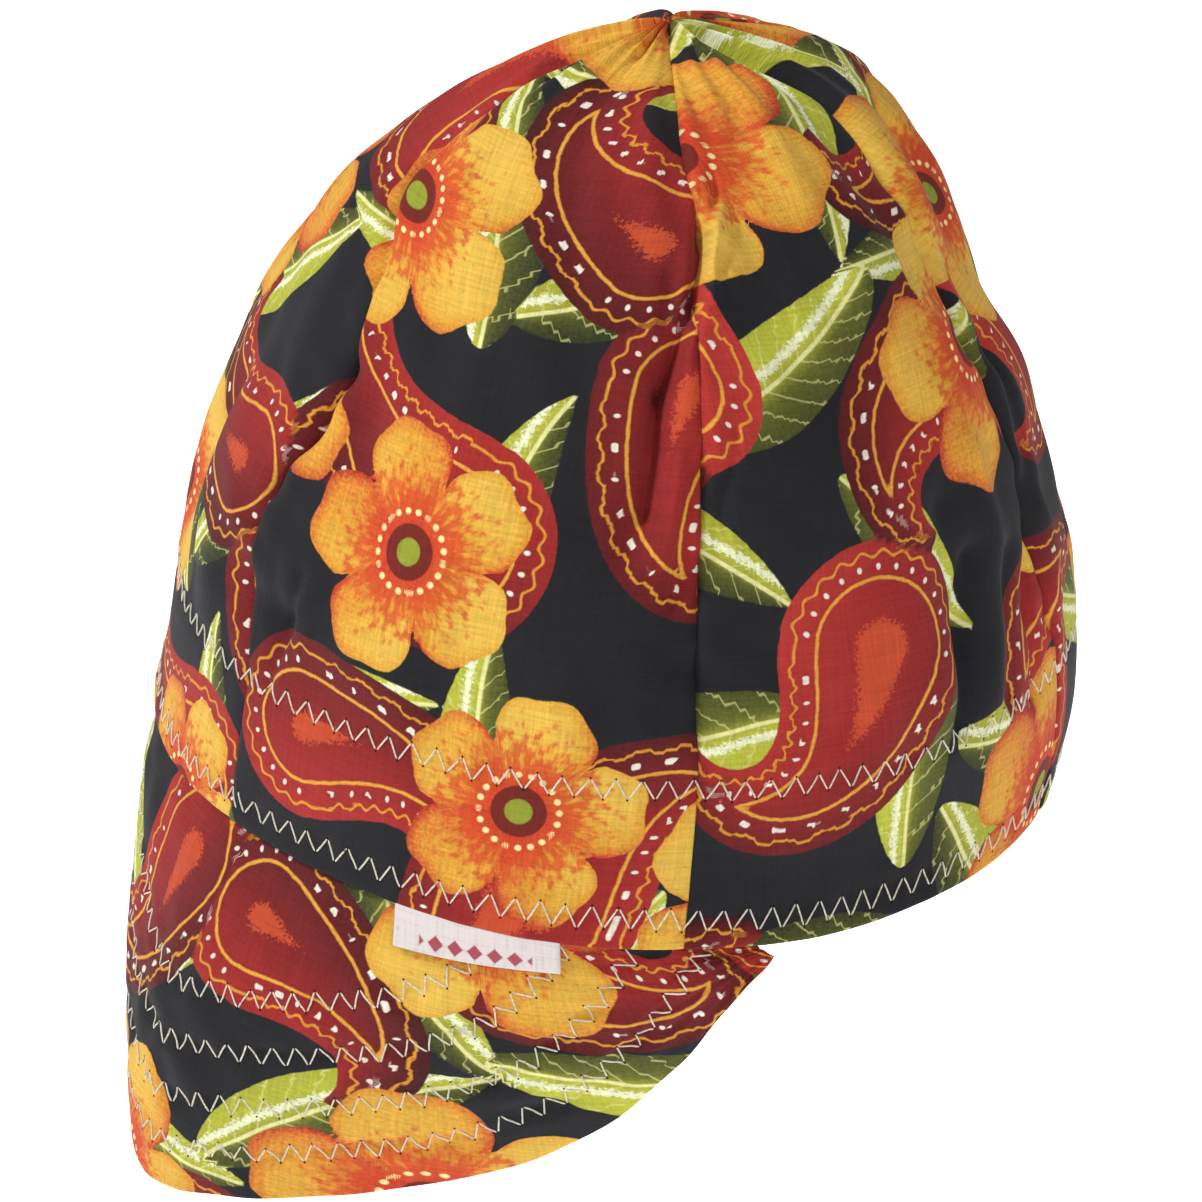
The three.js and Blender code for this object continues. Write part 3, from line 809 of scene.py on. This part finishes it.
def printed_cotton():
    """Printed plain-weave cotton: screen inks over near-black cloth. Matt, with crossed threads,
    slubs and grainy airbrushed shading, and a pale grey-brown reverse."""
    material, tree, shader = new_material("printed plain-weave cotton")
    height, slub, place = weave(tree)
    grain = add(tree, "TexNoise", Vector=place, Scale=1.35, Detail=3.0, Roughness=0.8)
    wobble = add(tree, "TexNoise", Vector=place, Scale=0.5, Detail=2.0)
    fade = add(tree, "TexNoise", Vector=place, Scale=0.03, Detail=3.0)
    colour = add(tree, "ValToRGB", {"stops": ((0.3, "#17171A"), (0.7, "#202025"))}, n0=fade)
    for name in LAYER_NAMES:
        tones, strength, drawing = PRINT_INKS[name]
        stored = add(tree, "Attribute", {"attribute_name": name}, take="Color")
        alpha = add(tree, "Attribute", {"attribute_name": name}, take="Alpha")
        parts = add(tree, "SeparateColor", Color=stored).node.outputs
        depth = add(tree, "Math", {"operation": "MULTIPLY_ADD"}, n0=wobble, n1=0.5, n2=parts["Red"])
        tone = add(tree, "Math", {"operation": "MULTIPLY_ADD"}, n0=grain, n1=2 * strength, n2=alpha)
        tone = add(tree, "Math", {"operation": "SUBTRACT"}, n0=tone, n1=strength)
        ink = add(tree, "ValToRGB", {"stops": tones}, n0=tone)
        ink = drawing(tree, ink, depth, parts["Green"], parts["Blue"], grain)
        edge = add(tree, "MapRange", Value=depth, From_Min=0.15, From_Max=0.4)
        colour = add(tree, "Mix", {"data_type": "RGBA"}, take=2, n0=edge, n6=colour, n7=ink)
    lit = add(tree, "MapRange", Value=slub, From_Min=0.6, From_Max=1.4, To_Min=0.8, To_Max=1.2)
    colour = add(tree, "VectorMath", {"operation": "SCALE"}, n0=colour, Scale=lit)
    inside = add(tree, "Attribute", {"attribute_name": "inside"}, take="Fac")
    reverse = add(tree, "Math", {"operation": "MULTIPLY"}, n0=inside, n1=0.62)
    colour = add(tree, "Mix", {"data_type": "RGBA"}, take=2, n0=reverse, n6=colour, n7="#6E6A68")
    tree.links.new(colour, shader.inputs["Base Color"])
    bump = add(tree, "Bump", Strength=0.3, Distance=0.0002, Height=height)
    bump = add(tree, "Bump", Strength=0.3, Distance=0.0003, Height=slub, Normal=bump)
    tree.links.new(bump, shader.inputs["Normal"])
    shader.inputs["Roughness"].default_value = 0.8
    shader.inputs["Specular IOR Level"].default_value = 0.2
    shader.inputs["Sheen Weight"].default_value = 0.04
    shader.inputs["Sheen Roughness"].default_value = 0.5
    return material


def plain_cotton():
    """Dyed plain-weave cotton, folded into the band: near-black, matt, with the same threads."""
    material, tree, shader = new_material("dyed plain-weave cotton")
    height, slub, place = weave(tree)
    colour = add(tree, "ValToRGB", {"stops": ((0.7, "#17171A"), (1.3, "#2A2A2F"))}, n0=slub)
    tree.links.new(colour, shader.inputs["Base Color"])
    bump = add(tree, "Bump", Strength=0.4, Distance=0.0002, Height=height)
    tree.links.new(bump, shader.inputs["Normal"])
    shader.inputs["Roughness"].default_value = 0.85
    shader.inputs["Specular IOR Level"].default_value = 0.2
    shader.inputs["Sheen Weight"].default_value = 0.05
    return material


def sewing_thread():
    """Spun cotton thread, cream: soft, slightly hairy, twisted finer than shows."""
    material, tree, shader = new_material("spun cotton thread")
    place = add(tree, "TexCoord", take="Object")
    twist = add(tree, "TexNoise", Vector=place, Scale=2600.0, Detail=2.0)
    colour = add(tree, "ValToRGB", {"stops": ((0.3, "#B8B09C"), (0.7, "#E9E3D2"))}, n0=twist)
    tree.links.new(colour, shader.inputs["Base Color"])
    bump = add(tree, "Bump", Strength=0.3, Distance=0.0001, Height=twist)
    tree.links.new(bump, shader.inputs["Normal"])
    shader.inputs["Roughness"].default_value = 0.7
    return material


def painted_hole_shade():
    """Painted shade of the hole the needle leaves where a stitch goes down: dark, with no gloss."""
    material, tree, shader = new_material("painted shade in a needle hole")
    place = add(tree, "TexCoord", take="Object")
    shade = add(tree, "TexNoise", Vector=place, Scale=900.0)
    colour = add(tree, "ValToRGB", {"stops": ((0.3, "#1A1512"), (0.7, "#2E2722"))}, n0=shade)
    tree.links.new(colour, shader.inputs["Base Color"])
    shader.inputs["Roughness"].default_value = 0.95
    shader.inputs["Specular IOR Level"].default_value = 0.05
    return material


def woven_tape():
    """Satin-woven polyester tape: pinkish white, smooth, with fine ribs and a little sheen, and a
    row of small diamonds woven in with red weft along its front leaf."""
    material, tree, shader = new_material("satin-woven polyester tape")
    height, slub, place = weave(tree, 0.36)
    colour = add(tree, "ValToRGB", {"stops": ((0.7, "#C6BBBA"), (1.3, "#D8CECC"))}, n0=slub)
    split = add(tree, "SeparateXYZ", Vector=place).node.outputs
    pace = add(tree, "Math", {"operation": "PINGPONG"}, n0=split["X"], n1=1.9)
    rise = add(tree, "Math", {"operation": "SUBTRACT"}, n0=split["Y"], n1=5.0)
    rise = add(tree, "Math", {"operation": "ABSOLUTE"}, n0=rise)
    away = add(tree, "Math", {"operation": "ADD"}, n0=pace, n1=rise)
    end = add(tree, "Math", {"operation": "ABSOLUTE"}, n0=split["X"])
    end = add(tree, "Math", {"operation": "SUBTRACT"}, n0=end, n1=9.3)
    away = add(tree, "Math", {"operation": "MAXIMUM"}, n0=away, n1=end)
    thready = add(tree, "Math", {"operation": "MULTIPLY_ADD"}, n0=height, n1=0.25, n2=away)
    colour = overprint(tree, colour, thready, 1.7, "#9C1F3C", 0.95)
    tree.links.new(colour, shader.inputs["Base Color"])
    bump = add(tree, "Bump", Strength=0.3, Distance=0.0001, Height=height)
    tree.links.new(bump, shader.inputs["Normal"])
    shader.inputs["Roughness"].default_value = 0.5
    shader.inputs["Sheen Weight"].default_value = 0.2
    return material


def studio_paper():
    """Seamless paper, matt white."""
    material, tree, shader = new_material("matt backdrop paper")
    place = add(tree, "TexCoord", take="Object")
    tooth = add(tree, "TexNoise", Vector=place, Scale=400.0, Detail=2.0)
    colour = add(tree, "ValToRGB", {"stops": ((0.3, "#F6F6F6"), (0.7, "#FAFAFA"))}, n0=tooth)
    tree.links.new(colour, shader.inputs["Base Color"])
    shader.inputs["Roughness"].default_value = 0.95
    return material


# Pieces

PANELS = (
    ("panel_front_left", (18, 30, 8)),
    ("panel_side_left", (96, 140, -64)),
    ("panel_back_left", (170, 60, 118)),
    ("panel_back_right", (40, 200, -150)),
    ("panel_side_right", (130, 20, 76)),
    ("panel_front_right", (205, 110, -22)),
)


def panel_columns(span):
    """Shares across a panel, closer together beside its two seams."""
    edge = np.array((0, 0.35, 0.8, 1.35, 2.1)) / span
    middle = np.linspace(3 / span, 1 - 3 / span, int((span - 6) / MESH_STEP))
    return np.concatenate((edge, middle, 1 - edge[::-1]))


def crown_panel(name, index, cut, material):
    """One gore: the crown's cloth between two seams, a thin sheet that is double at the hem."""
    gore = 360 / PANEL_COUNT
    top = 0.9985
    heights, lengths = crown_heights(top, MESH_STEP)
    heights[0] = HEM_CLOTH / 2 / CROWN_HEIGHT
    shares = panel_columns(math.radians(gore) * RIM_RADIUS)
    up = heights[:, None]
    start, end = seam_angle(index, up), seam_angle(index + 1, up)
    angle = start + (end - start) * shares
    thick = np.broadcast_to(
        CLOTH + (HEM_CLOTH - CLOTH) * (1 - smoothstep(up * CROWN_HEIGHT, 10, 12)), (len(heights), len(shares)))
    face = crown_cloth(angle, up)
    deep = crown_cloth(angle, up, under=1.0)
    normal = face - deep
    middle = face - normal * (thick / 2)[..., None]
    loop = sheet_loop(middle, normal, thick / 2)
    flat_x = np.radians(angle - (index + 0.5) * gore) * read_table(UP, SIDE, up) * RIM_RADIUS
    flat = np.stack((flat_x, np.broadcast_to(lengths[:, None], flat_x.shape)), -1)
    extra = (len(loop) - 2 * len(flat)) // 2
    cloth = np.concatenate((flat[::-1], np.repeat(flat[:1], 2 * extra, 0), flat))
    inside = np.zeros(loop.shape[:2])
    inside[len(loop) // 2 + 1:] = 1
    piece = fill_mesh(name + "_cloth", loop, cloth=cloth, layers=printed(cloth, cut), inside=inside)
    piece.data.materials.append(material)
    width = flat_x[:, -1] - flat_x[:, 0]
    return piece, (width.max() * MM, lengths[-1] * MM), np.trapz(width, lengths) * MM**2


def bill_piece(material):
    """The bill: outer and under cloth over padding, with its outer edge turned round."""
    ways = np.concatenate((np.linspace(1, 0, int(BILL_DEPTH / MESH_STEP)), np.linspace(-0.12, -1, 7)))
    alongs = np.linspace(-1, 1, int(2 * math.radians(BILL_HALF_SPAN) * RIM_RADIUS / MESH_STEP))
    along, way = np.meshgrid(alongs, ways)
    outer, normal, _ = bill_face(along, way)
    inner, _, _ = bill_under(along, way)
    middle, half = (outer + inner) / 2, np.linalg.norm(outer - inner, axis=-1) / 2
    loop = sheet_loop(middle, unit(outer - inner), half)
    flat = np.stack((np.radians(along * BILL_HALF_SPAN) * RIM_RADIUS,
                     -np.where(way > 0, way * bill_depth(along), way * BILL_TUCK)), -1)
    cloth = np.concatenate((flat[::-1], np.repeat(flat[:1], 4, 0), flat + (60, 25)))
    piece = fill_mesh("bill_cloth", loop, cloth=cloth, layers=printed(cloth, (30, 150, 168)),
                      inside=np.zeros(loop.shape[:2]))
    piece.data.materials.append(material)
    return piece


def band_piece(material):
    """The headband: a folded strip right round the inside of the crown's foot."""
    angles = np.linspace(0, 360, 540, endpoint=False)[None, :] + 180
    heights = np.linspace(BAND_BOTTOM + 0.5, BAND_TOP - 0.5, 30)[:, None]
    middle, inward = band_face(angles, heights, BAND_WALL / 2)
    half = np.full(middle.shape[:2], BAND_WALL / 2)
    loop = sheet_loop(middle, -inward, half, round_last=True)
    columns = np.arange(loop.shape[1] + 1) / loop.shape[1] * 2 * math.pi * RIM_RADIUS
    rows = np.arange(len(loop)) * 1.0
    cloth = np.stack(np.broadcast_arrays(columns[None, :], rows[:, None]), -1)
    piece = fill_mesh("headband_cloth", loop, wrap_columns=True, cloth=cloth)
    piece.data.materials.append(material)
    return piece


def label_piece(material):
    """The label: a tape folded double at its lower end, its two ends sewn in under the hem. It
    keeps its width while the bill fans out under it, and its folded end slants a little."""
    across = np.linspace(-1, 1, 41)[None, :] * LABEL_WIDTH / 2
    low = LABEL_DROP - 1.5 - LABEL_SLANT * across / (LABEL_WIDTH / 2)
    share = np.concatenate((np.linspace(0, 1, 14), np.ones(5), np.linspace(1, 0, 14)))[:, None]
    swing = np.radians(np.concatenate((np.zeros(14), np.linspace(30, 150, 5), np.full(14, 180))))[:, None]
    down = LABEL_TOP + (low - LABEL_TOP) * share + LABEL_FOLD * np.sin(swing)
    centre = LABEL_ANGLE / BILL_HALF_SPAN
    centre_way = down[:, 20] / bill_depth(centre)
    by_along = bill_skin(centre + 0.02, centre_way) - bill_skin(centre - 0.02, centre_way)
    along = centre + across * 0.04 / np.linalg.norm(by_along, axis=-1)[:, None]
    way = down / bill_depth(along)
    skin = bill_skin(along, way)
    normal = -surface_normal(bill_skin, along, np.clip(way, 0.02, 1), 0.01, 0.01)
    curl_up = 0.5 * smoothstep(down, 2, LABEL_DROP) * (1 + 0.8 * ripple(across, 0, 30, 51))
    lift = 0.75 + LABEL_FOLD * np.cos(swing) + curl_up
    middle = skin + normal * lift[..., None]
    tape_normal = unit(np.cross(np.gradient(middle, axis=1), np.gradient(middle, axis=0)))
    loop = sheet_loop(middle, tape_normal, np.full(skin.shape[:2], 0.12))
    run = np.concatenate(([0], np.cumsum(np.linalg.norm(np.diff(middle[:, 20], axis=0), axis=1))))
    flat = np.stack(np.broadcast_arrays(across, run[:, None]), -1)
    cloth = np.concatenate((flat[::-1], np.repeat(flat[:1], 4, 0), flat))
    piece = fill_mesh("label_tape", loop, cloth=cloth)
    piece.data.materials.append(material)
    return piece, run[-1]


def zigzag(face, path_a, path_b, seed, width=ZIGZAG_WIDTH):
    """The legs of a zigzag row: corners every half pitch along a line on a face, set off to its
    two sides along the cloth, then straight legs that dip into the cloth at both ends. Also gives
    short paths through the cloth at the corners, for dark plugs that are the painted shade of the needle holes."""
    draw = np.random.default_rng(seed)
    fine = np.linspace(0, 1, 1500)
    keys = np.linspace(0, 1, len(path_a))
    a, b = np.interp(fine, keys, path_a), np.interp(fine, keys, path_b)
    points = face(a, b)[0]
    run = np.concatenate(([0], np.cumsum(np.linalg.norm(np.diff(points, axis=0), axis=1))))
    count = int(run[-1] / (ZIGZAG_PITCH / 2))
    stops = (np.arange(count + 1) + draw.uniform(-0.09, 0.09, count + 1)) * run[-1] / count
    a, b = np.interp(stops, run, a), np.interp(stops, run, b)
    point, normal = face(a, b)[:2]
    side = np.cross(normal, unit(np.gradient(point, axis=0)))
    step = 1e-3 * max(np.ptp(path_a), 1.0)
    by_a = (face(a + step, b)[0] - point) / step
    by_b = (face(a, b + step)[0] - point) / step
    aa, ab, bb = (np.einsum("ij,ij->i", p, q) for p, q in ((by_a, by_a), (by_a, by_b), (by_b, by_b)))
    ta, tb = (np.einsum("ij,ij->i", p, side) for p in (by_a, by_b))
    det = aa * bb - ab**2
    reach = width / 2 * (-1.0) ** np.arange(count + 1) * draw.uniform(0.9, 1.08, count + 1)
    a, b = a + reach * (ta * bb - tb * ab) / det, b + reach * (tb * aa - ta * ab) / det
    share = np.linspace(0, 1, 8)
    leg_a = a[:-1, None] + share * np.diff(a)[:, None]
    leg_b = b[:-1, None] + share * np.diff(b)[:, None]
    spots, normals = face(leg_a, leg_b)[:2]
    lift = THREAD_RADIUS * (2.3 * np.sin(np.pi * share) ** 0.5 - 1.5)
    # Short paths at each corner, for the dark plugs of painted needle-hole shade
    shaded_hole_paths = np.stack((spots[:, 0] - normals[:, 0] * 0.4, spots[:, 0] + normals[:, 0] * 0.05), 1)
    return spots + normals * lift[:, None], shaded_hole_paths


def outer_crown(angle, up):
    """The crown's outer cloth with its normal, for stitches to lie on."""
    face = crown_cloth(angle, up)
    return face, face - crown_cloth(angle, up, under=1.0)


def inner_band(angle, height):
    """The headband's inner face with its normal, for stitches to lie on."""
    return band_face(angle, height, BAND_WALL)


def stitches(thread, hole_shade_material):
    """The crown's two rows outside and inside, and the bill's four rows on both of its faces, each with dark plugs
    of painted shade at its needle holes.
    """
    turn = np.linspace(0, 360, 721)
    rows = {}
    for n, (row, title) in enumerate(((LOWER_ROW, "lower"), (UPPER_ROW, "upper"))):
        height = row + 0.35 * np.sin(np.radians(3 * turn + 40 * n)) + 0.2 * np.sin(np.radians(8 * turn))
        rows[f"crown_{title}"] = [zigzag(outer_crown, turn, height / CROWN_HEIGHT, 60 + n)]
        inner = np.clip(height, BAND_BOTTOM + 2.6, BAND_TOP - 2.6)
        rows[f"band_{title}"] = [zigzag(inner_band, turn, inner, 62 + n)]
    lines = [bill_row(inset) for inset in BILL_ROWS]
    rows["bill_outer"] = [zigzag(bill_face, *line, 70 + n) for n, line in enumerate(lines)]
    rows["bill_under"] = [zigzag(bill_under, *line, 80 + n) for n, line in enumerate(lines)]
    for title, made in rows.items():
        legs, shaded_hole_paths = (np.concatenate(part) for part in zip(*made))
        sewn = tubes(title + "_stitches", legs, THREAD_RADIUS)
        sewn.data.materials.append(thread)
        # Dark plugs at the stitch corners: painted shade of the needle holes
        hole_shade_plugs = tubes(title + "_needle_hole_shading", shaded_hole_paths, HOLE_SHADE_RADIUS, end=1.0)
        hole_shade_plugs.data.materials.append(hole_shade_material)
        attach(sewn, "root")
        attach(hole_shade_plugs, "root")


def seam_allowance(index, material):
    """The seam's two raw edges, pressed to one side inside the crown: a strip that starts at the
    seam, narrows to the apex and lifts a little at its raw edge."""
    heights, lengths = crown_heights(0.975, 1.5)
    keep = heights * CROWN_HEIGHT > BAND_TOP - 1
    up, length = heights[keep][:, None], lengths[keep]
    reach = np.maximum(read_table(UP, SIDE, up) * RIM_RADIUS, 6)
    wide = 11 * np.minimum(1, reach / 30) + 0.5 * ripple(length[:, None], 0, 23, 90 + index)
    shares = np.linspace(0, 1, 13)[None, :]
    away = shares * wide
    angle = seam_angle(index, up) + np.degrees((away - 0.8) / reach)
    lift = 0.7 * smoothstep(away, 4, 10) * (0.6 + ripple(length[:, None], away, 13, 96 + index) ** 2)
    middle = crown_cloth(angle, up, under=CLOTH + 0.5 + lift)
    normal = crown_cloth(angle, up) - crown_cloth(angle, up, under=1.0)
    loop = sheet_loop(middle, normal, np.full(middle.shape[:2], 0.3))
    flat = np.stack(np.broadcast_arrays(away, length[:, None]), -1)
    cloth = np.concatenate((flat[::-1], np.repeat(flat[:1], 4, 0), flat))
    inside = np.zeros(loop.shape[:2])
    inside[:len(loop) // 2] = 1
    piece = fill_mesh(f"seam_allowance_{index + 1}", loop, cloth=cloth, inside=inside,
                      layers=printed(cloth, (31.0 * index, 57.0 * index, 60.0 * index)))
    piece.data.materials.append(material)
    area = np.trapz(wide[:, 0], length) * MM**2
    return piece, (wide.max() * MM, np.ptp(length) * MM), area


def main():
    cotton = printed_cotton()
    lining = plain_cotton()
    thread = sewing_thread()
    tape = woven_tape()
    for index, (name, cut) in enumerate(PANELS):
        piece, flat, area = crown_panel(name, index, cut, cotton)
        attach(piece, "root")
        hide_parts(name)
        strip, flat, area = seam_allowance(index, cotton)
        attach(strip, "root")
    bill = bill_piece(cotton)
    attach(bill, "root")
    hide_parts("bill")
    share = np.linspace(-1, 1, 401)
    area = np.trapz(bill_depth(share) + BILL_TUCK, np.radians(share * BILL_HALF_SPAN) * RIM_RADIUS)
    band = band_piece(lining)
    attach(band, "root")
    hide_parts("headband")
    label, run = label_piece(tape)
    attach(label, "root")
    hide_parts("label")
    stitches(thread, painted_hole_shade())


main()

# Camera and light

CAMERA_AZIMUTH, CAMERA_ELEVATION, CAMERA_ROLL = 48.68, 27.23, -5.08
CAMERA_DISTANCE, CAMERA_FOCAL_PIXELS = 0.819, 4226.9
CAMERA_TARGET = Vector((0.0226, -0.0239, 0.0408))
IMAGE_PIXELS, SENSOR = 1202, 36.0


def place_camera():
    azimuth, elevation, roll = (math.radians(v) for v in (CAMERA_AZIMUTH, CAMERA_ELEVATION, CAMERA_ROLL))
    back = Vector((math.sin(azimuth) * math.cos(elevation), -math.cos(azimuth) * math.cos(elevation),
                   math.sin(elevation)))
    right = Vector((math.cos(azimuth), math.sin(azimuth), 0))
    over = back.cross(right)
    x_axis = right * math.cos(roll) - over * math.sin(roll)
    y_axis = right * math.sin(roll) + over * math.cos(roll)
    lens = bpy.data.cameras.new("camera")
    lens.sensor_width = SENSOR
    lens.lens = CAMERA_FOCAL_PIXELS * SENSOR / IMAGE_PIXELS
    lens.clip_start, lens.clip_end = 0.05, 50
    camera = bpy.data.objects.new("camera", lens)
    bpy.context.scene.collection.objects.link(camera)
    place = CAMERA_TARGET + back * CAMERA_DISTANCE
    turned = Matrix((x_axis, y_axis, back)).transposed().to_4x4()
    camera.matrix_world = Matrix.Translation(place) @ turned
    bpy.context.scene.camera = camera


def area_light(name, place, aim, size, power):
    lamp = bpy.data.lights.new(name, "AREA")
    lamp.size, lamp.energy = size, power
    made = bpy.data.objects.new(name, lamp)
    made.location = place
    made.rotation_euler = (Vector(place) - Vector(aim)).to_track_quat("Z", "Y").to_euler()
    bpy.context.scene.collection.objects.link(made)


def light_scene():
    """White surroundings, shown brighter than they light: a large soft key high on the left of
    the camera, a weak one on its right, and lamps that light only the paper behind. Colours are
    shown as they are lit, as a catalogue photograph shows them."""
    bpy.context.scene.view_settings.view_transform = "Standard"
    world = bpy.data.worlds.new("studio")
    world.use_nodes = True
    tree = world.node_tree
    background = tree.nodes["Background"]
    background.inputs["Color"].default_value = (1, 1, 1, 1)
    seen = add(tree, "LightPath", take="Is Camera Ray")
    strength = add(tree, "MapRange", Value=seen, To_Min=0.32, To_Max=1.0)
    tree.links.new(strength, background.inputs["Strength"])
    bpy.context.scene.world = world
    area_light("key", (-0.75, -1.15, 1.35), (0, 0, 0.05), 0.4, 28)
    area_light("side", (1.45, -0.35, 1.0), (0, 0, 0.05), 0.8, 12)
    for n in range(4):
        turn = math.radians(45 + 90 * n)
        x, y = math.sin(turn), math.cos(turn)
        area_light(f"backdrop_{n + 1}", (1.5 * x, 1.5 * y, 1.0), (3.4 * x, 3.4 * y, -1.0), 0.8, 95)
    floor_mesh = bpy.data.meshes.new("floor")
    half, level = 3.0, -1.0
    floor_mesh.from_pydata([(-half, -half, level), (half, -half, level), (half, half, level), (-half, half, level)],
                           [], [(0, 1, 2, 3)])
    floor = bpy.data.objects.new("floor", floor_mesh)
    floor.data.materials.append(studio_paper())
    bpy.context.scene.collection.objects.link(floor)


place_camera()
light_scene()
